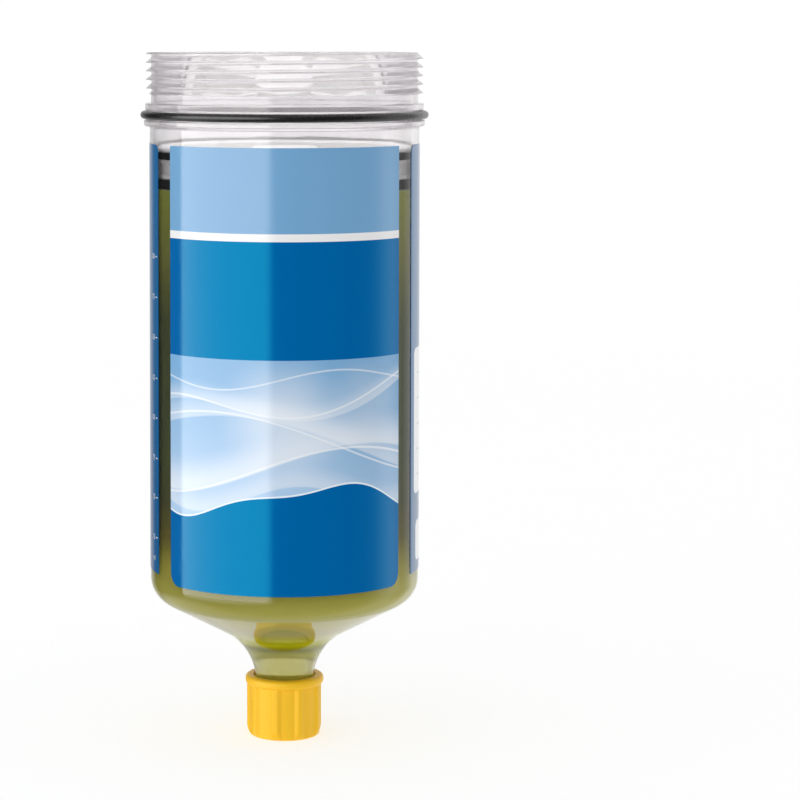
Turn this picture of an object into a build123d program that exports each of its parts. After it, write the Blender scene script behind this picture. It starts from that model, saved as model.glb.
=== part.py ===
"""Refill canister of a screw-on automatic lubricator.

A clear moulded container with a buttress-threaded mouth, a funnel and a pipe
thread outlet holds a charge of oil under a two-seal follower piston.  The mouth
screws into a drive unit, whose spindle pushes the piston down.  A ribbed
cap with a sealing disc closes the outlet until the canister is fitted.

Frame: millimetres, +Z up along the axis of the canister, origin at the centre of
the cap's base, front of the canister towards -Y.
"""

import os
from math import cos, pi, radians, sin, tan

from build123d import *

os.makedirs("parts", exist_ok=True)

# --------------------------------------------------------------------------
# Driving dimensions
# --------------------------------------------------------------------------

# container, outside
total_height = 157.2  # rim of the mouth above the cap's base
thread_crest_r = 31.3  # crest of the mouth's buttress thread
thread_bottom_z = 147.9  # lower end of the thread
neck_r = 30.15  # plain neck below the thread
collar_r = 31.43  # upper collar of the O-ring seat
collar_top_z = 145.85
collar_bottom_z = 144.38
groove_r = 30.7  # floor of the O-ring seat
flange_r = 31.72  # lower flange of the O-ring seat
flange_top_z = 142.12
flange_bottom_z = 140.7
body_top_r = 30.42  # body just under the flange
body_bottom_r = 30.86  # body at the sharp corner of the shoulder
cone_slope = 28.44  # funnel, degrees from the horizontal
cone_ref = (14.16, 24.76)  # a point on the funnel's outer cone, (r, z)
shoulder_fillet = 6.13
throat_fillet = 14.42
spigot_r = 6.58  # crest of the outlet's G1/4 thread
spigot_bottom_z = 2.52
spigot_chamfer = 0.6

# container, inside
bore_r = 29.0  # bore that the piston runs in
mouth_bore_r = 29.2  # slightly wider bore behind the thread
bore_step_z = 139.2
funnel_wall = 1.9
outlet_bore_r = 4.2
inner_shoulder_fillet = 4.3
inner_throat_fillet = 12.0
rim_chamfer = 0.3

# neck O-ring
o_ring_section = 1.78
o_ring_z = 143.25

# piston
piston_bottom_z = 126.3
piston_top_z = 136.3
piston_r = 28.7
piston_groove_r = 26.98
piston_waist_r = 28.1  # shallow relief between the two seals
upper_seal_z = (133.55, 135.35)
lower_seal_z = (127.0, 129.4)
seal_inner_r = 27.0
seal_outer_r = 28.95
groove_play = 0.06
piston_web = 2.3
piston_wall_r = 24.9  # inside of the piston's rim wall
pad_r = 7.5  # centre pad that the drive's spindle bears on
pad_top_z = 136.0
rib_count = 8
rib_width = 1.6
rib_top_z = 134.2

# oil
oil_clear = 0.05

# labels
label_thickness = 0.12
label_clear = 0.01
label_top_z = 136.9
front_label_bottom_z = 38.7
front_label_arc = 110.8
front_label_corner = 3.0
back_label_bottom_z = 40.0
back_label_arc = 226.0
back_label_corner = 1.8

# outlet cap
cap_height = 14.1
cap_r = 8.15
cap_rib_r = 8.73
cap_rib_count = 9
cap_rib_azimuth = 25.5  # centre of one rib, degrees to the right of the front
cap_rib_base = 1.35  # half width of a rib at the cap's wall
cap_rib_crest = 0.45  # half width of a rib at its crest
cap_bead_r = 9.05
cap_bead_bottom_z = 12.2
cap_floor = 1.6
cap_bore_r = 6.65
cap_lead_r = 7.15
cap_lead_z = 11.9
liner_r = 6.5
liner_thickness = 0.9

# --------------------------------------------------------------------------
# Derived dimensions
# --------------------------------------------------------------------------

slope = tan(radians(cone_slope))


def cone_z(r, lift=0.0):
    """Height of the funnel's cone at radius r, moved inwards by lift."""
    r0 = cone_ref[0] - lift * sin(radians(cone_slope))
    z0 = cone_ref[1] + lift * cos(radians(cone_slope))
    return z0 + slope * (r - r0)


shoulder_corner = (body_bottom_r, cone_z(body_bottom_r))
throat_corner = (spigot_r, cone_z(spigot_r))
body_taper = (body_bottom_r - body_top_r) / (flange_bottom_z - shoulder_corner[1])


def body_radius(z):
    """Outside radius of the tapered body at height z."""
    return body_top_r + (flange_bottom_z - z) * body_taper


def radial_plane(azimuth):
    """Plane through the axis: x runs outwards at azimuth, y runs up."""
    a = radians(azimuth)
    return Plane(
        origin=(0, 0, 0), x_dir=(cos(a), sin(a), 0), z_dir=(sin(a), -cos(a), 0)
    )


# --------------------------------------------------------------------------
# Container
# --------------------------------------------------------------------------

outer_path = [
    ((mouth_bore_r + rim_chamfer, total_height), None),
    ((thread_crest_r - 0.6, total_height), 0),
    ((thread_crest_r, total_height - 0.6), 0),
    ((thread_crest_r, thread_bottom_z), 0),
    ((neck_r, thread_bottom_z - 0.7), 0.3),
    ((neck_r, collar_top_z + 0.03), 0.2),
    ((collar_r, collar_top_z), 0.25),
    ((collar_r, collar_bottom_z), 0.25),
    ((groove_r, collar_bottom_z - 0.03), 0.2),
    ((groove_r, flange_top_z + 0.03), 0.2),
    ((flange_r, flange_top_z), 0.3),
    ((flange_r, flange_bottom_z + 0.1), 0.4),
    ((body_top_r, flange_bottom_z), 0.4),
    (shoulder_corner, shoulder_fillet),
    (throat_corner, throat_fillet),
    ((spigot_r, spigot_bottom_z + spigot_chamfer), 0),
    ((spigot_r - spigot_chamfer, spigot_bottom_z), None),
]
inner_path = [
    ((outlet_bore_r, spigot_bottom_z), None),
    ((outlet_bore_r, cone_z(outlet_bore_r, funnel_wall)), inner_throat_fillet),
    ((bore_r, cone_z(bore_r, funnel_wall)), inner_shoulder_fillet),
    ((bore_r, bore_step_z), 0),
    ((mouth_bore_r, bore_step_z + 0.4), 0),
    ((mouth_bore_r, total_height - rim_chamfer), 0),
    ((mouth_bore_r + rim_chamfer, total_height), None),
]

with BuildPart() as container:
    with BuildSketch(Plane.XZ):
        with BuildLine():
            FilletPolyline(
                *[p for p, _ in outer_path],
                radius=[r for _, r in outer_path if r is not None],
            )
            Line(outer_path[-1][0], inner_path[0][0])
            FilletPolyline(
                *[p for p, _ in inner_path],
                radius=[r for _, r in inner_path if r is not None],
            )
        make_face()
    revolve(axis=Axis.Z)
container.part.label = "container"
export_step(container.part, "parts/container.step")

# --------------------------------------------------------------------------
# O-ring on the neck, which seals the drive unit's skirt
# --------------------------------------------------------------------------

with BuildPart() as neck_o_ring:
    with BuildSketch(Plane.XZ):
        with Locations((groove_r + 0.02 + o_ring_section / 2, o_ring_z)):
            Circle(o_ring_section / 2)
    revolve(axis=Axis.Z)
neck_o_ring.part.label = "neck_o_ring"
export_step(neck_o_ring.part, "parts/neck_o_ring.step")

# --------------------------------------------------------------------------
# Piston: flat crown below, ribbed pocket and centre pad above
# --------------------------------------------------------------------------

upper_groove = (upper_seal_z[0] - groove_play, upper_seal_z[1] + groove_play)
lower_groove = (lower_seal_z[0] - groove_play, lower_seal_z[1] + groove_play)
waist = (lower_groove[1] + 1.0, upper_groove[0] - 1.0)
web_top_z = piston_bottom_z + piston_web

with BuildPart() as piston:
    with BuildSketch(Plane.XZ):
        with BuildLine():
            Polyline(
                (0, piston_bottom_z),
                (piston_r - 0.4, piston_bottom_z),
                (piston_r, piston_bottom_z + 0.4),
                (piston_r, lower_groove[0]),
                (piston_groove_r, lower_groove[0]),
                (piston_groove_r, lower_groove[1]),
                (piston_r, lower_groove[1]),
                (piston_r, waist[0] - 0.4),
                (piston_waist_r, waist[0]),
                (piston_waist_r, waist[1]),
                (piston_r, waist[1] + 0.4),
                (piston_r, upper_groove[0]),
                (piston_groove_r, upper_groove[0]),
                (piston_groove_r, upper_groove[1]),
                (piston_r, upper_groove[1]),
                (piston_r, piston_top_z - 0.35),
                (piston_r - 0.35, piston_top_z),
                (piston_wall_r + 0.4, piston_top_z),
                (piston_wall_r, piston_top_z - 0.4),
                (piston_wall_r, web_top_z),
                (0, web_top_z),
                close=True,
            )
        make_face()
    revolve(axis=Axis.Z)
    # centre pad
    with BuildSketch(Plane.XY.offset(web_top_z - 0.5)):
        Circle(pad_r)
    extrude(amount=pad_top_z - web_top_z + 0.5)
    # radial ribs from the pad to the rim wall
    with BuildSketch(Plane.XY.offset(web_top_z - 0.5)):
        with PolarLocations(0, rib_count, start_angle=22.5):
            with Locations(((pad_r + piston_wall_r) / 2, 0)):
                Rectangle(piston_wall_r - pad_r + 1.0, rib_width)
    extrude(amount=rib_top_z - web_top_z + 0.5)
    fillet(
        piston.edges()
        .filter_by(GeomType.CIRCLE)
        .filter_by(lambda e: abs(e.radius - pad_r) < 0.01)
        .group_by(Axis.Z)[-1],
        radius=0.5,
    )
piston.part.label = "piston"
export_step(piston.part, "parts/piston.step")


with BuildPart() as piston_upper_seal:
    with BuildSketch(Plane.XZ) as upper_section:
        with Locations(((seal_inner_r + seal_outer_r) / 2, sum(upper_seal_z) / 2)):
            Rectangle(seal_outer_r - seal_inner_r, upper_seal_z[1] - upper_seal_z[0])
        fillet(upper_section.vertices(), radius=0.6)
    revolve(axis=Axis.Z)
piston_upper_seal.part.label = "piston_upper_seal"
export_step(piston_upper_seal.part, "parts/piston_upper_seal.step")

with BuildPart() as piston_lower_seal:
    with BuildSketch(Plane.XZ) as lower_section:
        with Locations(((seal_inner_r + seal_outer_r) / 2, sum(lower_seal_z) / 2)):
            Rectangle(seal_outer_r - seal_inner_r, lower_seal_z[1] - lower_seal_z[0])
        fillet(lower_section.vertices(), radius=0.65)
    revolve(axis=Axis.Z)
piston_lower_seal.part.label = "piston_lower_seal"
export_step(piston_lower_seal.part, "parts/piston_lower_seal.step")

# --------------------------------------------------------------------------
# Oil charge, from the piston's crown to the outlet's mouth
# --------------------------------------------------------------------------

oil_r = bore_r - oil_clear
oil_outlet_r = outlet_bore_r - oil_clear
oil_wall = funnel_wall + oil_clear

with BuildPart() as lubricant_fill:
    with BuildSketch(Plane.XZ):
        with BuildLine():
            Polyline(
                (oil_outlet_r, spigot_bottom_z + 0.05),
                (0, spigot_bottom_z + 0.05),
                (0, piston_bottom_z - 0.05),
                (oil_r, piston_bottom_z - 0.05),
            )
            FilletPolyline(
                (oil_r, piston_bottom_z - 0.05),
                (oil_r, cone_z(oil_r, oil_wall)),
                (oil_outlet_r, cone_z(oil_outlet_r, oil_wall)),
                (oil_outlet_r, spigot_bottom_z + 0.05),
                radius=[
                    inner_shoulder_fillet - oil_clear,
                    inner_throat_fillet + oil_clear,
                ],
            )
        make_face()
    revolve(axis=Axis.Z)
lubricant_fill.part.label = "lubricant_fill"
export_step(lubricant_fill.part, "parts/lubricant_fill.step")

# --------------------------------------------------------------------------
# Labels, thin film wrapped on the tapered body
# --------------------------------------------------------------------------


def label_outline(bottom_z):
    """Section of a label: a thin strip that follows the body's taper."""
    near, far = label_clear, label_clear + label_thickness
    return [
        (body_radius(bottom_z) + near, bottom_z),
        (body_radius(bottom_z) + far, bottom_z),
        (body_radius(label_top_z) + far, label_top_z),
        (body_radius(label_top_z) + near, label_top_z),
    ]


def corner_plane(azimuth, z, side, up):
    """Plane on a label's corner: x runs into the label round the body, y into it
    along the axis.  side is +1 where the label lies counter-clockwise of the
    corner, up is +1 at a bottom corner and -1 at a top one."""
    a = radians(azimuth)
    r = body_radius(z)
    return Plane(
        origin=(r * cos(a), r * sin(a), z),
        x_dir=(-side * sin(a), side * cos(a), 0),
        z_dir=(side * up * cos(a), side * up * sin(a), 0),
    )


def corner_points(radius):
    """Points of the sliver that rounding a corner to radius takes off."""
    k = radius * (1 - cos(pi / 4))
    return (radius, 0), (k, k), (0, radius)


with BuildPart() as front_label:
    with BuildSketch(radial_plane(-90 - front_label_arc / 2)):
        with BuildLine():
            Polyline(*label_outline(front_label_bottom_z), close=True)
        make_face()
    revolve(axis=Axis.Z, revolution_arc=front_label_arc)
    # rounded bottom corners
    for side in (1, -1):
        with BuildSketch(
            corner_plane(
                -90 - side * front_label_arc / 2, front_label_bottom_z, side, 1
            )
        ):
            with BuildLine():
                arc = ThreePointArc(*corner_points(front_label_corner))
                Polyline(arc @ 1, (-0.5, front_label_corner), (-0.5, -0.5),
                         (front_label_corner, -0.5), arc @ 0)
            make_face()
        extrude(amount=1.5, both=True, mode=Mode.SUBTRACT)
front_label.part.label = "front_label"
export_step(front_label.part, "parts/front_label.step")

with BuildPart() as back_label:
    with BuildSketch(radial_plane(90 - back_label_arc / 2)):
        with BuildLine():
            Polyline(*label_outline(back_label_bottom_z), close=True)
        make_face()
    revolve(axis=Axis.Z, revolution_arc=back_label_arc)
    # rounded top corners
    for side in (1, -1):
        with BuildSketch(
            corner_plane(90 - side * back_label_arc / 2, label_top_z, side, -1)
        ):
            with BuildLine():
                arc = ThreePointArc(*corner_points(back_label_corner))
                Polyline(arc @ 1, (-0.5, back_label_corner), (-0.5, -0.5),
                         (back_label_corner, -0.5), arc @ 0)
            make_face()
        extrude(amount=1.5, both=True, mode=Mode.SUBTRACT)
back_label.part.label = "back_label"
export_step(back_label.part, "parts/back_label.step")

# --------------------------------------------------------------------------
# Outlet cap with grip ribs and a rounded rim bead, and its sealing disc
# --------------------------------------------------------------------------

with BuildPart() as outlet_cap:
    # wall and grip ribs
    with BuildSketch(Plane.XY):
        Circle(cap_r)
        with PolarLocations(
            0, cap_rib_count, start_angle=-90 + cap_rib_azimuth
        ):
            with BuildLine():
                Polyline(
                    (cap_r - 1.0, -cap_rib_base),
                    (cap_r - 0.12, -cap_rib_base),
                    (cap_rib_r - 0.03, -cap_rib_crest),
                    (cap_rib_r, 0),
                    (cap_rib_r - 0.03, cap_rib_crest),
                    (cap_r - 0.12, cap_rib_base),
                    (cap_r - 1.0, cap_rib_base),
                    close=True,
                )
            make_face()
    extrude(amount=cap_bead_bottom_z + 0.6)
    # tapered foot of the wall and the ribs
    with BuildSketch(Plane.XZ):
        with BuildLine():
            Polyline(
                (7.85, -0.5),
                (7.85, 0),
                (8.38, 0.6),
                (8.75, 1.7),
                (10.0, 1.7),
                (10.0, -0.5),
                close=True,
            )
        make_face()
    revolve(axis=Axis.Z, mode=Mode.SUBTRACT)
    # rounded rim bead
    with BuildSketch(Plane.XZ):
        with BuildLine():
            FilletPolyline(
                (cap_r - 0.3, cap_bead_bottom_z - 0.15),
                (cap_bead_r, cap_bead_bottom_z),
                (cap_bead_r, cap_height),
                (cap_lead_r, cap_height),
                (cap_lead_r, cap_bead_bottom_z),
                radius=[0.7, 0.85, 0.2],
            )
            Line((cap_lead_r, cap_bead_bottom_z), (cap_r - 0.3, cap_bead_bottom_z - 0.15))
        make_face()
    revolve(axis=Axis.Z)
    # bore over the outlet's thread, with a lead-in
    with BuildSketch(Plane.XZ):
        with BuildLine():
            Polyline(
                (0, cap_floor),
                (cap_bore_r, cap_floor),
                (cap_bore_r, cap_lead_z),
                (cap_lead_r, cap_height - 0.25),
                (cap_lead_r + 0.1, cap_height + 1.0),
                (0, cap_height + 1.0),
                close=True,
            )
        make_face()
    revolve(axis=Axis.Z, mode=Mode.SUBTRACT)
outlet_cap.part.label = "outlet_cap"
export_step(outlet_cap.part, "parts/outlet_cap.step")

with BuildPart() as cap_liner:
    with BuildSketch(Plane.XY.offset(cap_floor + 0.01)):
        Circle(liner_r)
    extrude(amount=liner_thickness - 0.02)
    fillet(cap_liner.edges().filter_by(GeomType.CIRCLE), radius=0.15)
cap_liner.part.label = "cap_liner"
export_step(cap_liner.part, "parts/cap_liner.step")

# --------------------------------------------------------------------------
# Check sizes
# --------------------------------------------------------------------------

stroke = piston_bottom_z - (cone_z(bore_r, funnel_wall) + inner_shoulder_fillet * tan(radians((90 - cone_slope) / 2)))
print(f"oil volume {lubricant_fill.part.volume / 1000:.1f} ml")
print(f"piston stroke available {stroke:.2f} mm")
print(f"capacity per mm of stroke {pi * bore_r**2 / 1000:.3f} ml")
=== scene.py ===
"""Looks of the refill canister: clear threaded container, follower piston, oil,
printed labels and ribbed outlet cap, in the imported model's frame.
Lengths are written in millimetres and turned into metres by MM."""

import math

import bmesh
import bpy
import numpy as np
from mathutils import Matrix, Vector


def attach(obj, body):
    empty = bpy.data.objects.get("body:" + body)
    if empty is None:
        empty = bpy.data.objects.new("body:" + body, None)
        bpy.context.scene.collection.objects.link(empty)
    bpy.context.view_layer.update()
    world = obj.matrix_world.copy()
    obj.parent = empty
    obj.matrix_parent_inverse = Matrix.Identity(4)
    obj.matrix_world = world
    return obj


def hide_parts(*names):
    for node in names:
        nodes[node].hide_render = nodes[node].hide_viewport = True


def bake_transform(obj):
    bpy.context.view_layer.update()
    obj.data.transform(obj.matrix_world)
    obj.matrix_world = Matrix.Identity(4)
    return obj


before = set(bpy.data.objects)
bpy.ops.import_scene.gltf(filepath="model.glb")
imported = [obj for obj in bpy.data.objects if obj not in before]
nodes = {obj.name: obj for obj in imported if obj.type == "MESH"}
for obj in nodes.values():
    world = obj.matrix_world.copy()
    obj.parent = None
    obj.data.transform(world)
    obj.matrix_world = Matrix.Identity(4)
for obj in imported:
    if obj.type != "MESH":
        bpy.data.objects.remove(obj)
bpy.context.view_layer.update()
scene = bpy.context.scene
MM = 0.001
TAU = 2 * math.pi

# ---------------------------------------------------------------------------
# sizes, in millimetres: the same driving dimensions as the CAD
# ---------------------------------------------------------------------------
total_height = 157.2
thread_crest_r = 31.3
thread_root_r = 30.0
thread_pitch = 1.905
thread_start_z = 155.9  # crest height on the right-hand side
thread_bottom_z = 147.9
neck_r = 30.15
collar_r, collar_top_z, collar_bottom_z = 31.43, 145.85, 144.38
groove_r = 30.7
flange_r, flange_top_z, flange_bottom_z = 31.72, 142.12, 140.7
body_top_r, body_bottom_r = 30.42, 30.86
cone_slope = math.radians(28.44)
cone_ref = (14.16, 24.76)
shoulder_fillet, throat_fillet = 6.13, 14.42
spigot_r, spigot_root_r, spigot_pitch = 6.58, 5.72, 1.337
spigot_bottom_z, spigot_chamfer = 2.52, 0.6
bore_r, mouth_bore_r = 29.0, 29.2
funnel_wall, outlet_bore_r = 1.9, 4.2
inner_shoulder_fillet, inner_throat_fillet = 4.3, 12.0
o_ring_section, o_ring_z = 1.78, 143.25
piston_bottom_z, piston_top_z, piston_r = 126.3, 136.3, 28.7
oil_top_z = 126.98  # the oil fills the clearance up to the lower seal
label_thickness, label_top_z = 0.12, 136.9
label_foot_z = 43.0
front_label_bottom_z, front_half_arc, front_corner = 38.7, math.radians(55.4), 3.0
back_label_bottom_z, back_half_arc, back_corner = 40.0, math.radians(113.0), 1.8
cap_height, cap_r, cap_rib_r, cap_bead_r = 14.1, 8.15, 8.73, 9.05
cap_rib_base, cap_rib_crest = 1.35, 0.45
cap_rib_count, cap_rib_azimuth = 9, 25.5


def cone_z(r, lift=0.0):
    r0 = cone_ref[0] - lift * math.sin(cone_slope)
    z0 = cone_ref[1] + lift * math.cos(cone_slope)
    return z0 + math.tan(cone_slope) * (r - r0)


shoulder_corner = (body_bottom_r, cone_z(body_bottom_r))
throat_corner = (spigot_r, cone_z(spigot_r))
body_taper = (body_bottom_r - body_top_r) / (flange_bottom_z - shoulder_corner[1])


def body_radius(z):
    return body_top_r + (flange_bottom_z - z) * body_taper


# ---------------------------------------------------------------------------
# mesh helpers
# ---------------------------------------------------------------------------


def new_object(name, verts, faces, uvs=None, slots=None, weld=None, sharp=None):
    """Mesh object from points in millimetres. uvs is one pair per point; slots is
    one material number per face; weld merges points nearer than that many mm."""
    me = bpy.data.meshes.new(name)
    me.from_pydata((np.asarray(verts, float) * MM).tolist(), [], faces)
    if slots is not None:
        me.polygons.foreach_set("material_index", np.asarray(slots, np.int32))
    if uvs is not None:
        layer = me.uv_layers.new(name="print")
        loops = np.zeros(len(me.loops), np.int32)
        me.loops.foreach_get("vertex_index", loops)
        layer.data.foreach_set("uv", np.asarray(uvs, np.float32)[loops].ravel())
    if weld:
        bm = bmesh.new()
        bm.from_mesh(me)
        bmesh.ops.remove_doubles(bm, verts=bm.verts, dist=weld * MM)
        bmesh.ops.dissolve_degenerate(bm, dist=weld * MM * 0.5, edges=bm.edges)
        bmesh.ops.recalc_face_normals(bm, faces=bm.faces)
        bm.to_mesh(me)
        bm.free()
    me.polygons.foreach_set("use_smooth", np.ones(len(me.polygons), bool))
    if sharp:
        me.set_sharp_from_angle(angle=math.radians(sharp))
    me.update()
    ob = bpy.data.objects.new(name, me)
    scene.collection.objects.link(ob)
    return ob


def fillet_path(points, step=7.0):
    """Points (r, z, radius) to a polyline with its corners rounded."""
    out = []
    for i, (r, z, rad) in enumerate(points):
        p = np.array((r, z), float)
        if not rad or i in (0, len(points) - 1):
            out.append(tuple(p))
            continue
        a = np.array(points[i - 1][:2], float) - p
        b = np.array(points[i + 1][:2], float) - p
        a /= np.linalg.norm(a)
        b /= np.linalg.norm(b)
        half = math.acos(max(-1, min(1, float(a @ b)))) / 2
        t = rad / math.tan(half)
        mid = (a + b) / np.linalg.norm(a + b)
        c = p + mid * rad / math.sin(half)
        p0, p1 = p + a * t, p + b * t
        v0, v1 = p0 - c, p1 - c
        turn = math.atan2(v0[0] * v1[1] - v0[1] * v1[0], float(v0 @ v1))
        n = max(2, int(math.ceil(abs(math.degrees(turn)) / (step if rad > 0.5 else max(step, 9.0)))))
        for k in range(n + 1):
            w = turn * k / n
            out.append(
                (
                    c[0] + v0[0] * math.cos(w) - v0[1] * math.sin(w),
                    c[1] + v0[0] * math.sin(w) + v0[1] * math.cos(w),
                )
            )
    return out


def lathe_columns(columns, closed=True, cap_ends=False):
    """Points of a body of revolution given as columns[i][j] = (r, z), one
    column per azimuth, the first at the right-hand side (+X), going round to the
    back, with the numbers of columns, of rows and of rows to join. closed joins the last row to the first."""
    n = len(columns)
    rows = len(columns[0])
    cols = np.asarray(columns, float)
    ang = np.arange(n) * TAU / n
    verts = np.empty((n, rows, 3))
    verts[:, :, 0] = cols[:, :, 0] * np.cos(ang)[:, None]
    verts[:, :, 1] = cols[:, :, 0] * np.sin(ang)[:, None]
    verts[:, :, 2] = cols[:, :, 1]
    faces = []
    last = rows if closed else rows - 1
    return verts.reshape(-1, 3), n, rows, last


def lathe(name, profile, n=256, closed=True, sharp=30, slot_of=None, weld=2e-4, phase=0.0):
    """Body of revolution from one (r, z) profile."""
    cols = [profile] * n
    verts, n, rows, last = lathe_columns(cols, closed)
    if phase:
        c, s = math.cos(phase), math.sin(phase)
        verts = np.stack((verts[:, 0] * c - verts[:, 1] * s, verts[:, 0] * s + verts[:, 1] * c, verts[:, 2]), 1)
    faces, slots = [], []
    for i in range(n):
        a, b = i * rows, ((i + 1) % n) * rows
        for j in range(last):
            k = (j + 1) % rows
            faces.append((a + j, b + j, b + k, a + k))
            slots.append(slot_of(j) if slot_of else 0)
    return new_object(name, verts, faces, slots=slots, weld=weld, sharp=sharp)


def weight_normals(ob):
    """Shade long flat faces flat and the small rounded edges between them round."""
    m = ob.modifiers.new("weighted normals", "WEIGHTED_NORMAL")
    m.keep_sharp = True
    m.weight = 60


def thread_rows(phi, start_z, pitch, z_hi, z_lo, profile, turns_above, turns_below, top_r=None):
    """(r, z) down one column of a helical thread. profile lists (drop, r) over one
    pitch from a crest downwards. Rows beyond z_hi and z_lo are held at those levels,
    so every column has the same number of rows."""
    drops = np.array([p[0] for p in profile] + [pitch])
    radii = np.array([p[1] for p in profile] + [profile[0][1]])

    def r_at(z):
        base = start_z + pitch * phi / TAU
        d = (base - z) % pitch
        return float(np.interp(d, drops, radii))

    r_hi, r_lo = r_at(z_hi), r_at(z_lo)
    rows = []
    for k in range(turns_above, -turns_below - 1, -1):
        crest = start_z + pitch * phi / TAU + k * pitch
        for d, r in profile:
            z = crest - d
            if z >= z_hi:
                rows.append((r_hi, z_hi))
            elif z <= z_lo:
                rows.append((r_lo, z_lo))
            else:
                rows.append((r, z))
    return rows, r_hi, r_lo


# ---------------------------------------------------------------------------
# materials
# ---------------------------------------------------------------------------


class Nodes:
    """Small builder for one node tree."""

    def __init__(self, name):
        self.mat = bpy.data.materials.new(name)
        self.mat.use_nodes = True
        self.t = self.mat.node_tree
        self.t.nodes.clear()
        self.out = self.t.nodes.new("ShaderNodeOutputMaterial")

    def new(self, kind, **props):
        n = self.t.nodes.new(kind)
        for k, v in props.items():
            setattr(n, k, v)
        return n

    def link(self, a, b):
        self.t.links.new(a, b)

    def put(self, socket, value):
        if hasattr(value, "is_output"):
            self.link(value, socket)
        elif value is not None:
            socket.default_value = value

    def math(self, op, a, b=None, c=None, clamp=False):
        n = self.new("ShaderNodeMath", operation=op, use_clamp=clamp)
        for s, v in zip(n.inputs, (a, b, c)):
            self.put(s, v)
        return n.outputs[0]

    def smooth(self, value, lo, hi, to_lo=0.0, to_hi=1.0):
        n = self.new("ShaderNodeMapRange", interpolation_type="SMOOTHSTEP")
        self.put(n.inputs["Value"], value)
        for k, v in (("From Min", lo), ("From Max", hi), ("To Min", to_lo), ("To Max", to_hi)):
            self.put(n.inputs[k], v)
        return n.outputs[0]

    def ramp(self, value, lo, hi, to_lo=0.0, to_hi=1.0):
        n = self.new("ShaderNodeMapRange", clamp=True)
        self.put(n.inputs["Value"], value)
        for k, v in (("From Min", lo), ("From Max", hi), ("To Min", to_lo), ("To Max", to_hi)):
            self.put(n.inputs[k], v)
        return n.outputs[0]

    def mix(self, fac, a, b, blend="MIX"):
        n = self.new("ShaderNodeMix", data_type="RGBA", blend_type=blend)
        self.put(n.inputs[0], fac)
        self.put(n.inputs[6], a)
        self.put(n.inputs[7], b)
        return n.outputs[2]

    def noise(self, scale, detail=3.0, vector=None, rough=0.5):
        n = self.new("ShaderNodeTexNoise")
        n.inputs["Scale"].default_value = scale
        n.inputs["Detail"].default_value = detail
        n.inputs["Roughness"].default_value = rough
        if vector is not None:
            self.link(vector, n.inputs["Vector"])
        return n.outputs["Fac"]

    def place(self):
        return self.new("ShaderNodeTexCoord").outputs["Object"]

    def stretched(self, x, y, z):
        """Object coordinates scaled by x, y and z, for texture that runs one way."""
        n = self.new("ShaderNodeMapping")
        self.link(self.place(), n.inputs["Vector"])
        n.inputs["Scale"].default_value = (x, y, z)
        return n.outputs["Vector"]

    def bump(self, height, distance, strength=1.0, normal=None):
        n = self.new("ShaderNodeBump")
        n.inputs["Distance"].default_value = distance
        n.inputs["Strength"].default_value = strength
        self.link(height, n.inputs["Height"])
        if normal is not None:
            self.link(normal, n.inputs["Normal"])
        return n.outputs["Normal"]

    def principled(self, **values):
        n = self.new("ShaderNodeBsdfPrincipled")
        for k, v in values.items():
            self.put(n.inputs[k.replace("_", " ")], v)
        return n

    def surface(self, shader):
        self.link(shader, self.out.inputs["Surface"])
        return self.mat

    def clear_to_lamps(self, shader, tint):
        """Lets lamps shine through a clear surface, tinted, instead of casting a solid shadow."""
        see = self.new("ShaderNodeBsdfTransparent")
        see.inputs["Color"].default_value = tint
        mix = self.new("ShaderNodeMixShader")
        self.link(self.new("ShaderNodeLightPath").outputs["Is Shadow Ray"], mix.inputs[0])
        self.link(shader, mix.inputs[1])
        self.link(see.outputs[0], mix.inputs[2])
        return self.surface(mix.outputs[0])


def rgb(r, g, b):
    """sRGB 0-255 to the linear colour that a shader takes."""
    return tuple(((c / 255 + 0.055) / 1.055) ** 2.4 if c > 10.3 else c / 255 / 12.92 for c in (r, g, b)) + (1.0,)


def clear_plastic(name, ior=1.5, wetted=False, gloss=1.0):
    """Injection-moulded clear plastic: faint flow waviness and a few soft scuffs."""
    m = Nodes(name)
    flow = m.noise(90, 2.0, m.stretched(1, 1, 0.25))
    fine = m.noise(900, 2.0, m.place())
    rough = m.ramp(fine, 0.35, 0.75, 0.012, 0.05)
    s = m.principled(
        Base_Color=(0.985, 0.975, 0.985, 1),
        Roughness=rough,
        IOR=ior,
        Transmission_Weight=1.0,
        Normal=m.bump(flow, 0.00006, 0.5),
    )
    s.inputs["Specular Tint"].default_value = (gloss, gloss, gloss, 1)
    if wetted:
        s.inputs["Specular Tint"].default_value = (0, 0, 0, 1)
    return m.clear_to_lamps(s.outputs[0], (0.93, 0.93, 0.93, 1))


def neck_plastic():
    """The moulding's mouth: tool marks and fine steps of the thread give it a soft haze."""
    m = Nodes("clear_plastic_mouth")
    flow = m.noise(110, 3.0, m.stretched(1, 1, 4.0))
    fine = m.noise(900, 2.0, m.place())
    s = m.principled(
        Base_Color=(0.985, 0.965, 0.98, 1),
        Roughness=m.ramp(fine, 0.35, 0.75, 0.04, 0.09),
        IOR=1.5,
        Transmission_Weight=1.0,
        Normal=m.bump(flow, 0.00004, 0.5),
    )
    haze = m.new("ShaderNodeBsdfDiffuse")
    haze.inputs["Color"].default_value = (0.90, 0.865, 0.89, 1)
    glow = m.new("ShaderNodeBsdfTranslucent")
    glow.inputs["Color"].default_value = (0.90, 0.865, 0.89, 1)
    cloud = m.new("ShaderNodeMixShader")
    cloud.inputs[0].default_value = 0.5
    m.link(haze.outputs[0], cloud.inputs[1])
    m.link(glow.outputs[0], cloud.inputs[2])
    both = m.new("ShaderNodeMixShader")
    m.link(m.ramp(flow, 0.3, 0.7, 0.11, 0.20), both.inputs[0])
    m.link(s.outputs[0], both.inputs[1])
    m.link(cloud.outputs[0], both.inputs[2])
    return m.clear_to_lamps(both.outputs[0], (0.90, 0.90, 0.90, 1))


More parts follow.
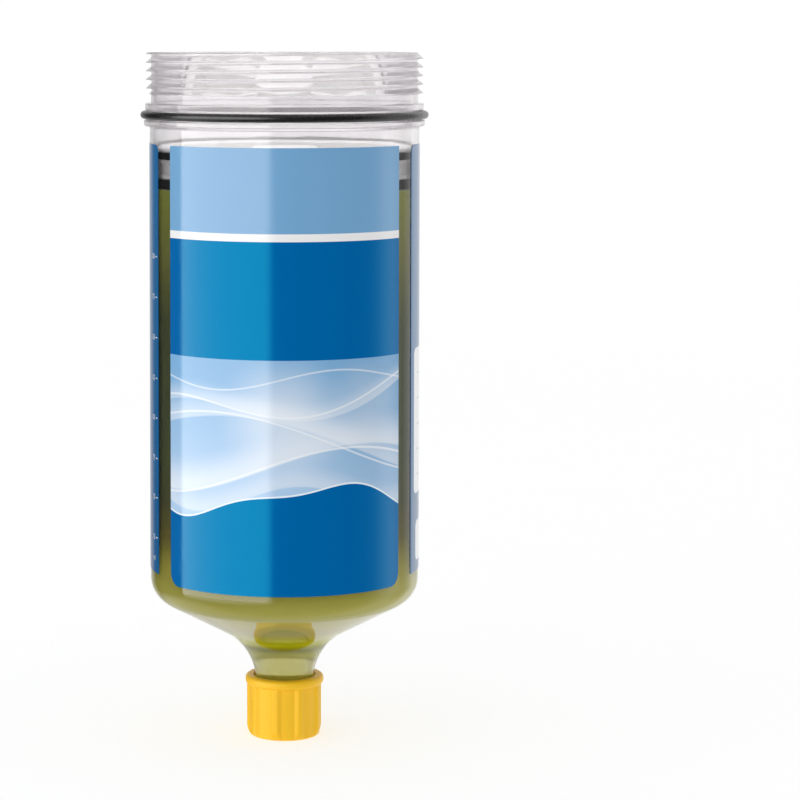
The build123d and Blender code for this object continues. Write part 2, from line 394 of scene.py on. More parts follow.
def oil_material():
    """Olive oil: clear, with a cloudy share whose colour is painted light and shade: bright in the funnel below the
    labels, dark behind them, lighter near the piston.
    """
    m = Nodes("oil")
    sep = m.new("ShaderNodeSeparateXYZ")
    m.link(m.place(), sep.inputs[0])
    z = m.math("MULTIPLY", sep.outputs[2], 1000.0)
    ramp = m.new("ShaderNodeValToRGB")
    m.link(m.math("DIVIDE", z, 130.0), ramp.inputs[0])
    # painted light and shade by height: bright yellow in the bare funnel, a saturated yellow band at 23.5-25.5 mm for
    # the cap's image refracted through the throat, dark olive behind the labels, lighter under the piston
    stops = [
        (9.5, (0.95, 0.90, 0.0)),
        (13.0, (1.0, 0.98, 0.10)),
        (16.5, (1.0, 0.99, 0.42)),
        (20.5, (1.0, 0.98, 0.46)),
        (23.5, (1.0, 1.0, 0.04)),
        (25.5, (1.0, 1.0, 0.06)),
        (28.5, (0.93, 0.87, 0.42)),
        (34, (1.0, 0.96, 0.24)),
        (38, (0.98, 0.93, 0.19)),
        (42, (0.80, 0.74, 0.12)),
        (49, (0.36, 0.32, 0.08)),
        (57, (0.20, 0.22, 0.085)),
        (75, (0.165, 0.21, 0.095)),
        (98, (0.17, 0.205, 0.085)),
        (112, (0.41, 0.43, 0.11)),
        (124, (0.55, 0.60, 0.12)),
    ]
    els = ramp.color_ramp.elements
    while len(els) < len(stops):
        els.new(0.5)
    for e, (zz, c) in zip(els, stops):
        e.position = zz / 130.0
        e.color = (*c, 1)
    # painted: a deeper yellow close to the axis, standing in for light seen through the funnel's own depth
    plan = m.math("SQRT", m.math("ADD", m.math("MULTIPLY", sep.outputs[0], sep.outputs[0]), m.math("MULTIPLY", sep.outputs[1], sep.outputs[1])))
    painted_depth_core = m.math("MULTIPLY", m.ramp(plan, 0.0075, 0.013, 1.0, 0.0), m.ramp(z, 22.0, 23.5))
    depth = m.mix(painted_depth_core, ramp.outputs[0], (0.97, 1.0, 0.01, 1))
    streak = m.noise(30, 3.0, m.stretched(1, 1, 0.4))
    # the painted light and shade, dimmed a little in random streaks
    painted_light_streaks = m.mix(m.ramp(streak, 0.3, 0.7, 0.0, 0.25), depth, (0.8, 0.8, 0.8, 1), "MULTIPLY")
    s = m.principled(
        Base_Color=painted_light_streaks,
        Roughness=m.ramp(streak, 0.3, 0.7, 0.25, 0.35),
        IOR=1.47,
    )
    s.inputs["Specular IOR Level"].default_value = 0.0
    clear = m.principled(
        Base_Color=m.mix(m.ramp(z, 23.5, 27.0), (1.0, 0.97, 0.55, 1), (1, 1, 1, 1)),
        Roughness=0.0,
        IOR=1.47,
        Transmission_Weight=1.0,
    )
    clear.inputs["Specular Tint"].default_value = (0, 0, 0, 1)
    both = m.new("ShaderNodeMixShader")
    # the neck is the clearest part, the throat just above it the cloudiest
    share = m.math("ADD", m.smooth(z, 22.3, 24.3, 0.62, 0.04), m.smooth(z, 30.0, 37.0, 0.0, 0.19))
    m.link(share, both.inputs[0])
    m.link(s.outputs[0], both.inputs[1])
    m.link(clear.outputs[0], both.inputs[2])
    vol = m.new("ShaderNodeVolumeAbsorption")
    vol.inputs["Color"].default_value = (0.735, 0.715, 0.08, 1)
    vol.inputs["Density"].default_value = 55.0
    m.link(vol.outputs[0], m.out.inputs["Volume"])
    return m.clear_to_lamps(both.outputs[0], (0.78, 0.83, 0.36, 1))


def rubber(name, tone=0.012, rough=(0.32, 0.5), sheen=0.5):
    m = Nodes(name)
    grain = m.noise(2600, 4.0, m.place())
    dust = m.noise(220, 4.0, m.place())
    base = m.mix(m.ramp(dust, 0.5, 0.8), (tone, tone * 0.95, tone, 1), (tone * 2.4, tone * 2.3, tone * 2.3, 1))
    s = m.principled(
        Base_Color=base,
        Roughness=m.ramp(grain, 0.3, 0.7, *rough),
        Normal=m.bump(grain, 0.00002, 0.5),
    )
    s.inputs["Specular IOR Level"].default_value = sheen
    return m.surface(s.outputs[0])


def natural_plastic():
    """Unpigmented moulded plastic: white, a little see-through, with faint mottle."""
    m = Nodes("natural_plastic")
    mottle = m.noise(120, 4.0, m.place())
    grain = m.noise(1800, 3.0, m.place())
    base = m.mix(m.ramp(mottle, 0.3, 0.7), (0.88, 0.88, 0.87, 1), (0.94, 0.94, 0.93, 1))
    s = m.principled(
        Base_Color=base,
        Roughness=m.ramp(grain, 0.3, 0.7, 0.28, 0.42),
        IOR=1.5,
        Subsurface_Weight=0.25,
        Subsurface_Scale=0.002,
        Normal=m.bump(grain, 0.00002, 0.4),
    )
    s.inputs["Subsurface Radius"].default_value = (1.0, 1.0, 0.95)
    return m.surface(s.outputs[0])


def yellow_plastic():
    """Satin moulded yellow plastic: pigment swirls and fine grain."""
    m = Nodes("yellow_plastic")
    swirl = m.noise(140, 5.0, m.stretched(1, 1, 0.35), rough=0.6)
    grain = m.noise(2400, 3.0, m.place())
    base = m.mix(m.ramp(swirl, 0.3, 0.72), (0.99, 0.56, 0.012, 1), (1.0, 0.59, 0.016, 1))
    s = m.principled(
        Base_Color=base,
        Roughness=m.ramp(grain, 0.3, 0.7, 0.34, 0.46),
        IOR=1.5,
        Subsurface_Weight=0.12,
        Subsurface_Scale=0.001,
        Normal=m.bump(grain, 0.00002, 0.35),
    )
    s.inputs["Subsurface Radius"].default_value = (1.0, 0.6, 0.2)
    s.inputs["Specular IOR Level"].default_value = 0.34
    return m.surface(s.outputs[0])


def foam():
    m = Nodes("liner_foam")
    cells = m.new("ShaderNodeTexVoronoi")
    cells.inputs["Scale"].default_value = 3200
    m.link(m.place(), cells.inputs["Vector"])
    tone = m.ramp(cells.outputs["Distance"], 0.0, 0.7, 0.0, 1.0)
    s = m.principled(
        Base_Color=m.mix(tone, (0.80, 0.79, 0.76, 1), (0.90, 0.89, 0.87, 1)),
        Roughness=0.7,
        Normal=m.bump(tone, 0.00003, 0.5),
    )
    return m.surface(s.outputs[0])


def film(name, colour, tint=(1, 1, 1, 1), painter=None):
    """Glossy printed film on a label. colour is the ink; tint colours its gloss."""
    m = Nodes(name)
    uv = m.new("ShaderNodeUVMap", uv_map="print")
    sep = m.new("ShaderNodeSeparateXYZ")
    m.link(uv.outputs["UV"], sep.inputs[0])
    s_mm = m.math("MULTIPLY", sep.outputs[0], 100.0)
    z_mm = m.math("MULTIPLY", sep.outputs[1], 100.0)
    base = painter(m, s_mm, z_mm) if painter else None
    if base is None:
        base = colour
    mottle = m.noise(260, 4.0, m.place(), rough=0.6)
    base = m.mix(m.ramp(mottle, 0.35, 0.7, 0.0, 0.05), base, (0.9, 0.9, 0.9, 1), "MULTIPLY")
    peel = m.noise(55, 2.0, m.place())
    s = m.principled(
        Base_Color=base,
        Roughness=m.ramp(mottle, 0.3, 0.7, 0.10, 0.16),
        IOR=1.5,
        Normal=m.bump(peel, 0.00003, 0.35),
    )
    s.inputs["Specular Tint"].default_value = tint
    return m.surface(s.outputs[0])


def adhesive_side(name, tone):
    """Back of a label, seen through the clear wall."""
    m = Nodes(name)
    fibre = m.noise(420, 4.0, m.place(), rough=0.65)
    a = tuple(c * 0.93 for c in tone[:3]) + (1,)
    s = m.principled(Base_Color=m.mix(m.ramp(fibre, 0.3, 0.7), a, tone), Roughness=0.55)
    s.inputs["Specular IOR Level"].default_value = 0.1
    return m.surface(s.outputs[0])


def set_slots(ob, *mats):
    """One material for each slot, in order; the faces keep their slot numbers."""
    for i, m in enumerate(mats):
        if i < len(ob.data.materials):
            ob.data.materials[i] = m
        else:
            ob.data.materials.append(m)


# ---------------------------------------------------------------------------
# container: one closed clear moulding with its real threads
# ---------------------------------------------------------------------------
N = 320

mouth_profile = [
    (0.00, 31.24),
    (0.035, 31.29),
    (0.09, 31.295),
    (0.13, 31.22),
    (0.155, 31.02),
    (0.225, 30.16),
    (0.27, 30.04),
    (0.37, 30.0),
    (0.66, 30.0),
    (0.78, 30.02),
    (0.88, 30.10),
    (1.84, 31.17),
]
spigot_profile = [
    (0.00, 6.58),
    (0.10, 6.54),
    (0.18, 6.44),
    (0.49, 5.86),
    (0.57, 5.76),
    (0.668, 5.72),
    (0.766, 5.76),
    (0.846, 5.86),
    (1.157, 6.44),
    (1.237, 6.54),
]

outer_mid = fillet_path(
    [
        (neck_r, 147.78, 0),
        (neck_r, collar_top_z + 0.03, 0.2),
        (collar_r, collar_top_z, 0.25),
        (collar_r, collar_bottom_z, 0.25),
        (groove_r, collar_bottom_z - 0.03, 0.2),
        (groove_r, flange_top_z + 0.03, 0.2),
        (flange_r, flange_top_z, 0.3),
        (flange_r, flange_bottom_z + 0.1, 0.4),
        (body_top_r, flange_bottom_z, 0.4),
        (*shoulder_corner, shoulder_fillet),
        (*throat_corner, throat_fillet),
        (spigot_r, 11.4, 0),
    ],
    step=6.0,
)
inner_side = fillet_path(
    [
        (outlet_bore_r, spigot_bottom_z + 0.3, 0),
        (outlet_bore_r, cone_z(outlet_bore_r, funnel_wall), inner_throat_fillet),
        (bore_r, cone_z(bore_r, funnel_wall), inner_shoulder_fillet),
        (bore_r, oil_top_z, 0),
        (mouth_bore_r, total_height - 0.35, 0),
    ],
    step=7.0,
)
wet_row = min(range(len(inner_side)), key=lambda i: abs(inner_side[i][1] - oil_top_z) + abs(inner_side[i][0] - bore_r))

columns = []
for i in range(N):
    phi = TAU * i / N
    helix, r_hi, r_lo = thread_rows(phi, thread_start_z, thread_pitch, 157.08, thread_bottom_z, mouth_profile, 1, 5)
    rim = [
        (mouth_bore_r + 0.05, total_height - 0.13),
        (mouth_bore_r + 0.15, total_height - 0.03),
        (mouth_bore_r + 0.3, total_height),
        (r_hi - 0.14, total_height),
        (r_hi - 0.04, total_height - 0.035),
    ]
    run_out = [(r_lo, thread_bottom_z - 0.02), (neck_r + 0.02, thread_bottom_z - 0.06)]
    screw, _, s_lo = thread_rows(phi, 11.0, spigot_pitch, 11.3, spigot_bottom_z + 0.05, spigot_profile, 1, 8)
    screw = [
        (
            min(
                spigot_r - (spigot_r - r) * min(1.0, max(0.0, (11.3 - z) / 0.7)),
                spigot_r - spigot_chamfer + (z - spigot_bottom_z),
            ),
            z,
        )
        for r, z in screw
    ]
    foot = [
        (min(spigot_root_r + 0.2, screw[-1][0]) - 0.05, spigot_bottom_z),
        (outlet_bore_r + 0.15, spigot_bottom_z),
        (outlet_bore_r + 0.04, spigot_bottom_z + 0.05),
    ]
    columns.append(rim + helix + run_out + outer_mid + screw + foot + inner_side)

rows = len(columns[0])
inner_first = rows - len(inner_side)
dry_from = inner_first + wet_row  # rows from here up are above the oil


def part_of(column, j, k):
    """Material slot of a strip: 1 wetted by oil, 2 at the mouth, 3 on the shoulder and
    cone, 0 elsewhere."""
    if inner_first - 1 <= j < dry_from:
        return 1
    z = (column[j][1] + column[k][1]) / 2
    if z > 138.0:
        return 2
    return 3 if z < label_foot_z and j < inner_first else 0


verts, _, _, _ = lathe_columns(columns)
# the seam closes one pitch lower down, so both threads need their own row shift there
k_mouth, k_spigot = len(mouth_profile), len(spigot_profile)
h0 = 5
h1 = h0 + k_mouth * 7
s0 = h1 + 2 + len(outer_mid)
s1 = s0 + k_spigot * 10
faces, slots = [], []
extra = []
for i in range(N):
    a, b = i * rows, ((i + 1) % N) * rows
    for j in range(rows):
        k = (j + 1) % rows
        if i == N - 1:
            # column N is column 0 raised by one pitch: the rows are matched through copies
            extra.append(j)
            continue
        faces.append((a + j, b + j, b + k, a + k))
        slots.append(part_of(columns[i], j, k))
seam = []
phi = TAU
helix, r_hi, r_lo = thread_rows(phi, thread_start_z, thread_pitch, 157.08, thread_bottom_z, mouth_profile, 1, 5)
screw, _, _ = thread_rows(phi, 11.0, spigot_pitch, 11.3, spigot_bottom_z + 0.05, spigot_profile, 1, 8)
screw = [
    (
        min(
            spigot_r - (spigot_r - r) * min(1.0, max(0.0, (11.3 - z) / 0.7)),
            spigot_r - spigot_chamfer + (z - spigot_bottom_z),
        ),
        z,
    )
    for r, z in screw
]
seam = list(columns[0])
seam[h0:h1] = helix
seam[s0:s1] = screw
base = len(verts)
verts = np.vstack((verts, np.array([(r, 0.0, z) for r, z in seam])))
a = (N - 1) * rows
for j in range(rows):
    k = (j + 1) % rows
    faces.append((a + j, base + j, base + k, a + k))
    slots.append(part_of(columns[N - 1], j, k))
container = new_object("container_moulding", verts, faces, slots=slots, weld=1e-3, sharp=38)
set_slots(
    container,
    clear_plastic("clear_plastic"),
    clear_plastic("clear_plastic_wetted", wetted=True),
    neck_plastic(),
    clear_plastic("clear_plastic_foot", gloss=0.45),
)
weight_normals(container)
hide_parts("container")
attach(container, "canister")

# ---------------------------------------------------------------------------
# neck O-ring
# ---------------------------------------------------------------------------
ring_mid = groove_r + 0.02 + o_ring_section / 2
ring = []
for k in range(40):
    w = TAU * k / 40
    r = o_ring_section / 2
    if abs(math.cos(w)) > 0.985:
        r += 0.0
    ring.append((ring_mid + r * math.cos(w), o_ring_z + r * math.sin(w)))
o_ring = lathe("neck_seal_ring", ring, n=288, sharp=60)
set_slots(o_ring, rubber("ring_rubber", 0.010, (0.22, 0.38)))
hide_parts("neck_o_ring")
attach(o_ring, "canister")

# ---------------------------------------------------------------------------
# oil: one closed body, a hair into the wall that it wets
# ---------------------------------------------------------------------------
wet = 0.1
oil_profile = fillet_path(
    [
        (0.0, spigot_bottom_z + 0.03, 0),
        (outlet_bore_r - 0.04, spigot_bottom_z + 0.03, 0),
        (outlet_bore_r + wet, spigot_bottom_z + 0.25, 0),
        (outlet_bore_r + wet, cone_z(outlet_bore_r + wet, funnel_wall - wet), inner_throat_fillet - wet),
        (bore_r + wet, cone_z(bore_r + wet, funnel_wall - wet), inner_shoulder_fillet + wet),
        (bore_r + wet, oil_top_z - 0.06, 0),
        (bore_r - 0.02, oil_top_z, 0),
        (piston_r - 0.05, oil_top_z, 0),
        (piston_r - 0.05, piston_bottom_z + 0.42, 0),
        (piston_r - 0.48, piston_bottom_z + 0.08, 0),
        (0.0, piston_bottom_z + 0.08, 0),
    ],
    step=6.0,
)
oil = lathe("oil_charge", oil_profile, n=256, closed=False, sharp=35)
set_slots(oil, oil_material())
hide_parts("lubricant_fill")
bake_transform(oil)

# ---------------------------------------------------------------------------
# piston and cap liner keep their CAD shape
# ---------------------------------------------------------------------------
set_slots(nodes["piston"], natural_plastic())
set_slots(nodes["cap_liner"], foam())

# seals: their greased faces press into the bore, so the wall shows them black
for name, node, lo, hi, bite in (
    ("upper_piston_ring", "piston_upper_seal", 133.55, 135.35, 0.1),
    ("lower_piston_ring", "piston_lower_seal", 127.0, 129.4, 0.05),
):
    mid_z = (lo + hi) / 2
    section = fillet_path(
        [
            (27.0, mid_z, 0),
            (27.0, lo, 0.25),
            (28.5, lo, 0.2),
            (bore_r + bite, lo + 0.12, 0.12),
            (bore_r + bite, hi - 0.12, 0.12),
            (28.5, hi, 0.2),
            (27.0, hi, 0.25),
            (27.0, mid_z, 0),
        ],
        step=15.0,
    )[:-1]
    seal = lathe(name, section, n=256, sharp=40)
    set_slots(seal, rubber(name + "_rubber", 0.008, sheen=0.12))
    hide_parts(node)
    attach(seal, "piston")

# ---------------------------------------------------------------------------
# labels
# ---------------------------------------------------------------------------
BLUE = (0.0, 0.122, 0.381, 1)
WHITE = (0.86, 0.86, 0.86, 1)
PALE = (0.175, 0.381, 0.624, 1)


def wave_edge(s):
    """Height of the wave that closes the picture panel, at arc length s from its middle."""
    return 59.6 + 3.4 * math.sin((s + 7.0) * 0.098) + 1.2 * math.sin((s - 11.0) * 0.21)


def label(name, centre_deg, half_arc, bottom, top, corner_bottom, corner_top, levels, mats, back_mat, columns_n):
    """Thin curved label. levels are functions of arc length, from the bottom up, that
    bound its bands of print; mats has one entry per band, then comes the hidden side."""
    out_r = lambda z: body_radius(z) + 0.01 + label_thickness
    in_r = lambda z: body_radius(z) - 0.03
    mean_r = body_radius((bottom + top) / 2) + 0.07
    # columns, denser where the corners are rounded
    half = half_arc * mean_r
    edge = max(corner_bottom, corner_top)
    fine = edge * (1 - np.cos(np.linspace(0, math.pi / 2, 14)))
    s_list = np.concatenate(
        (-half + fine, np.linspace(-half + edge, half - edge, columns_n)[1:-1], half - fine[::-1])
    )
    base_a = math.radians(centre_deg)
    verts, uvs, faces, slots = [], [], [], []
    rows_n = len(levels)

    def cut(s, rad):
        d = half - abs(s)
        return rad - math.sqrt(max(0.0, rad * rad - (rad - d) ** 2)) if d < rad else 0.0

    for s in s_list:
        lo = bottom + cut(s, corner_bottom)
        hi = top - cut(s, corner_top)
        zs = [lo] + [f(s) for f in levels[1:-1]] + [hi]
        for side in (out_r, in_r):
            for z in zs:
                r = side(z)
                w = base_a + s / mean_r
                verts.append((r * math.cos(w), r * math.sin(w), z))
                uvs.append((s / 100, z / 100))
    step = rows_n * 2
    n = len(s_list)
    for i in range(n - 1):
        a, b = i * step, (i + 1) * step
        for j in range(rows_n - 1):
            faces.append((a + j, b + j, b + j + 1, a + j + 1))
            slots.append(j)
            faces.append((a + rows_n + j + 1, b + rows_n + j + 1, b + rows_n + j, a + rows_n + j))
            slots.append(len(mats))
        faces.append((a, a + rows_n, b + rows_n, b))
        slots.append(0)
        t = rows_n - 1
        faces.append((a + t, b + t, b + rows_n + t, a + rows_n + t))
        slots.append(len(mats) - 1)
    for i, flip in ((0, False), (n - 1, True)):
        a = i * step
        for j in range(rows_n - 1):
            f = (a + j, a + j + 1, a + rows_n + j + 1, a + rows_n + j)
            faces.append(f[::-1] if flip else f)
            slots.append(j)
    ob = new_object(name, verts, faces, uvs=uvs, slots=slots, sharp=40)
    set_slots(ob, *mats, back_mat)
    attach(ob, "canister")
    return ob


def picture(m, s, z):
    """Soft pale ribbons that flow across a light blue sky."""
    base = m.mix(m.smooth(z, 56, 92), (0.42, 0.60, 0.82, 1), (0.20, 0.42, 0.68, 1))
    base = m.mix(m.smooth(s, 0, 30, 0.0, 0.35), base, (0.14, 0.33, 0.56, 1))

    def ribbon(z0, amp, freq, phase, slope, width, soft, gain):
        arg = m.math("MULTIPLY_ADD", s, freq, phase)
        line = m.math("MULTIPLY_ADD", m.math("SINE", arg), amp, z0)
        line = m.math("MULTIPLY_ADD", s, slope, line)
        d = m.math("SUBTRACT", z, line)
        upper = m.ramp(d, 0.0, width * 0.06, 0.0, 1.0)
        lower = m.smooth(d, width * 0.1, width, 1.0, 0.0)
        return m.math("MULTIPLY", m.math("MULTIPLY", upper, lower), gain)

    def line(z0, amp, freq, phase, slope, width, gain):
        arg = m.math("MULTIPLY_ADD", s, freq, phase)
        c = m.math("MULTIPLY_ADD", m.math("SINE", arg), amp, z0)
        c = m.math("MULTIPLY_ADD", s, slope, c)
        d = m.math("ABSOLUTE", m.math("SUBTRACT", z, c))
        return m.smooth(d, width * 0.5, width, gain, 0.0)

    parts = [
        ribbon(66.5, 4.5, 0.075, 0.4, 0.05, 9.0, 1, 0.62),
        ribbon(72.0, 5.5, 0.062, 2.1, -0.08, 7.0, 1, 0.42),
        ribbon(80.5, 3.5, 0.095, 4.0, 0.10, 5.0, 1, 0.38),
        ribbon(60.0, 3.0, 0.13, 1.2, 0.02, 6.0, 1, 0.42),
        line(66.3, 4.5, 0.075, 0.62, 0.05, 0.34, 0.7),
        line(72.6, 5.5, 0.062, 2.35, -0.08, 0.30, 0.6),
        line(81.6, 3.5, 0.095, 4.3, 0.10, 0.30, 0.6),
        line(86.5, 2.0, 0.12, 0.2, 0.02, 0.26, 0.5),
    ]
    glow_x = m.math("SUBTRACT", s, 0.0)
    glow_z = m.math("SUBTRACT", z, 78.0)
    dist = m.math("SQRT", m.math("ADD", m.math("MULTIPLY", glow_x, glow_x), m.math("MULTIPLY", glow_z, glow_z)))
    parts.append(m.smooth(dist, 1.0, 17.0, 0.55, 0.0))
    glow_x = m.math("SUBTRACT", s, 19.0)
    glow_z = m.math("SUBTRACT", z, 82.0)
    dist = m.math("SQRT", m.math("ADD", m.math("MULTIPLY", glow_x, glow_x), m.math("MULTIPLY", glow_z, glow_z)))
    parts.append(m.smooth(dist, 1.0, 12.0, 0.25, 0.0))
    for p in parts:
        base = m.mix(p, base, (0.86, 0.89, 0.93, 1))
    return base


def back_print(m, s, z):
    """Blue label with blank white fields and thin rules. s runs from its middle."""

    def field(cx, cz, hw, hh, rad):
        dx = m.math("SUBTRACT", m.math("ABSOLUTE", m.math("SUBTRACT", s, cx)), hw - rad)
        dz = m.math("SUBTRACT", m.math("ABSOLUTE", m.math("SUBTRACT", z, cz)), hh - rad)
        ax = m.math("MAXIMUM", dx, 0.0)
        az = m.math("MAXIMUM", dz, 0.0)
        d = m.math("SQRT", m.math("ADD", m.math("MULTIPLY", ax, ax), m.math("MULTIPLY", az, az)))
        inside = m.math("MINIMUM", m.math("MAXIMUM", dx, dz), 0.0)
        return m.math("SUBTRACT", m.math("ADD", d, inside), rad)

    left = m.mix(m.smooth(z, 40, 137), (0.006, 0.115, 0.31, 1), (0.016, 0.145, 0.36, 1))
    far = m.mix(m.smooth(z, 40, 137), (0.03, 0.11, 0.26, 1), (0.05, 0.14, 0.31, 1))
    base = m.mix(m.smooth(s, -54, -44), far, left)
    right = -60.5  # the label's edge on the right of the front view
    for cx, cz, hw, hh in (
        (right + 37.5, 74.6, 35.2, 16.6),
        (right + 23.0, 47.0, 19.2, 4.6),
        (right + 60.0, 47.0, 14.2, 4.6),
    ):
        base = m.mix(m.ramp(field(cx, cz, hw, hh, 1.6), -0.05, 0.05, 1.0, 0.0), base, (0.86, 0.86, 0.87, 1))
    for cx, cz, hw, hh in ((right + 30.0, 114.0, 16.0, 16.0), (right + 60.0, 118.0, 11.0, 12.0), (right + 60.0, 101.0, 11.0, 3.0)):
        edge = m.math("ABSOLUTE", field(cx, cz, hw, hh, 1.2))
        base = m.mix(m.ramp(edge, 0.12, 0.2, 1.0, 0.0), base, (0.80, 0.84, 0.88, 1))
    # thin rules on the large field
    for zr in (85.4, 79.6, 73.8, 68.0, 62.2):
        d = m.math("ABSOLUTE", m.math("SUBTRACT", z, zr))
        x = m.math("ABSOLUTE", m.math("SUBTRACT", s, right + 37.5))
        keep = m.math("LESS_THAN", x, 32.5)
        base = m.mix(m.math("MULTIPLY", m.ramp(d, 0.08, 0.14, 0.6, 0.0), keep), base, (0.02, 0.12, 0.33, 1))
    return base


gloss_blue = (0.045, 0.93, 1.0, 1)
front_mats = [
    film("front_print_blue", BLUE, gloss_blue),
    film("front_print_line", (0.80, 0.88, 0.94, 1)),
    film("front_print_picture", None, painter=picture),
    film("front_print_blue_upper", BLUE, gloss_blue),
    film("front_print_white", WHITE),
    film("front_print_pale", PALE),
]
flat = lambda z: (lambda s: z)
front_levels = [flat(0), wave_edge, lambda s: wave_edge(s) + 0.38, flat(90.95), flat(116.7), flat(118.4), flat(0)]
front_label = label(
    "front_label_film",
    -90,
    front_half_arc,
    front_label_bottom_z,
    label_top_z,
    front_corner,
    0.35,
    front_levels,
    front_mats,
    adhesive_side("front_label_adhesive", (0.84, 0.85, 0.84, 1)),
    110,
)
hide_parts("front_label")

back_label = label(
    "back_label_film",
    90,
    back_half_arc,
    back_label_bottom_z,
    label_top_z,
    0.35,
    back_corner,
    [flat(0), flat(90.0), flat(0)],
    [film("back_print_lower", None, (0.5, 0.9, 1.0, 1), back_print), film("back_print_upper", None, (0.5, 0.9, 1.0, 1), back_print)],
    adhesive_side("back_label_adhesive", (0.84, 0.85, 0.84, 1)),
    200,
)
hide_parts("back_label")

# ---------------------------------------------------------------------------
# printed scale on the back label's left edge
# ---------------------------------------------------------------------------


def wrapped_text(body, size, az_right, z_mid):
    """Vertices and faces of a word, upright on the label, its right end at az_right."""
    cu = bpy.data.curves.new("word", "FONT")
    cu.body = body
    cu.size = size
    cu.resolution_u = 3
    cu.align_x = "RIGHT"
    ob = bpy.data.objects.new("word", cu)
    scene.collection.objects.link(ob)
    bpy.context.view_layer.update()
    me = bpy.data.meshes.new_from_object(ob.evaluated_get(bpy.context.evaluated_depsgraph_get()))
    bpy.data.objects.remove(ob)
    co = [v.co.copy() for v in me.vertices]
    fs = [tuple(p.vertices) for p in me.polygons]
    bpy.data.meshes.remove(me)
    mid = (max(c.y for c in co) + min(c.y for c in co)) / 2
    out = []
    for c in co:
        z = z_mid + c.y - mid
        r = body_radius(z) + 0.01 + label_thickness + 0.012
        w = math.radians(az_right - 90) + c.x / r
        out.append((r * math.cos(w), r * math.sin(w), z))
    return out, fs


sv, sf = [], []
for z, word in ((112.0, "200"), (102.9, "175"), (93.8, "150"), (84.6, "125"), (75.6, "100"), (66.4, "75"), (57.4, "50"), (48.2, "25"), (43.4, "ml")):
    v, f = wrapped_text(word, 1.75, -71.3, z)
    o = len(sv)
    sv += v
    sf += [tuple(i + o for i in p) for p in f]
    if word == "ml":
        continue
    o = len(sv)
    for az in np.linspace(-70.3, -67.9, 4):
        for dz in (-0.11, 0.11):
            r = body_radius(z) + 0.01 + label_thickness + 0.012
            w = math.radians(az - 90)
            sv.append((r * math.cos(w), r * math.sin(w), z + dz))
    for k in range(3):
        sf.append((o + 2 * k, o + 2 * k + 2, o + 2 * k + 3, o + 2 * k + 1))
scale_print = new_object("scale_print", sv, sf)
set_slots(scale_print, film("scale_ink", None, painter=lambda m, s, z: m.mix(m.noise(700, 3.0, m.place()), (0.70, 0.76, 0.82, 1), (0.86, 0.90, 0.94, 1))))
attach(scale_print, "canister")

# ---------------------------------------------------------------------------
# outlet cap
# ---------------------------------------------------------------------------
CAP_N = 432


def cap_outer(phi_deg, z):
    """Radius of the cap's ribbed wall at an azimuth from the front, at height z."""
    period = 360 / cap_rib_count
    d = (phi_deg - cap_rib_azimuth + period / 2) % period - period / 2
    x = abs(math.radians(d) * cap_r)
    t = min(1.0, max(0.0, (cap_rib_base - x) / (cap_rib_base - cap_rib_crest)))
    t = 0.6 * t + 0.4 * t * t * (3 - 2 * t)
    rib = (cap_rib_r - cap_r) * t
    # the ribs fade into the bead and taper away at the foot
    top = min(1.0, max(0.0, (12.75 - z) / 0.5))
    r = cap_r + rib * (top * top * (3 - 2 * top))
    if z < 1.7:
        r = min(r, 8.38 + (8.75 - 8.38) * (z - 0.6) / 1.1 if z > 0.6 else 7.85 + 0.53 * (1 - (1 - z / 0.6) ** 2))
    return r


bead = fillet_path(
    [(cap_r, 11.95, 0), (cap_bead_r, 12.3, 0.55), (cap_bead_r, cap_height, 0.85), (7.15, cap_height, 0.22), (6.65, 11.9, 0), (6.65, 11.0, 0)],
    step=9.0,
)
cap_rows = [0.0, 0.07, 0.16, 0.28, 0.42, 0.6, 0.85, 1.1, 1.4, 1.7, 2.2, 4, 6, 8, 10, 11.2, 11.7]
cols = []
for i in range(CAP_N):
    az = 360 * i / CAP_N + 90  # azimuth from the front of the column at angle i
    col = [(0.0, 0.28), (4.5, 0.28), (5.6, 0.24), (6.0, 0.02), (6.3, 0.0)]
    col += [(7.6, 0.0)]
    col += [(cap_outer(az, z), z) for z in cap_rows]
    for r, z in bead:
        col.append((max(r, cap_outer(az, z)) if z < 12.75 and r > 8.0 else r, z))
    col += [(6.65, 3.0), (6.65, 1.62), (6.63, 1.6), (0.0, 1.6)]
    cols.append(col)
verts, n, rows, last = lathe_columns(cols, closed=False)
faces = []
for i in range(n):
    a, b = i * rows, ((i + 1) % n) * rows
    for j in range(last):
        faces.append((a + j, b + j, b + j + 1, a + j + 1))
cap = new_object("outlet_cap_moulding", verts, faces, weld=1e-3, sharp=42)
set_slots(cap, yellow_plastic())
weight_normals(cap)
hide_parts("outlet_cap")
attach(cap, "cap")

# ---------------------------------------------------------------------------
# studio
# ---------------------------------------------------------------------------
floor_mat = Nodes("floor")
paper = floor_mat.noise(60, 4.0, floor_mat.place())
fs = floor_mat.principled(
    Base_Color=floor_mat.mix(paper, (0.49, 0.49, 0.49, 1), (0.50, 0.50, 0.50, 1)),
    Roughness=0.9,
)
fs.inputs["Specular IOR Level"].default_value = 0.0
fs.inputs["Emission Color"].default_value = (1, 1, 1, 1)
fs.inputs["Emission Strength"].default_value = 0.66
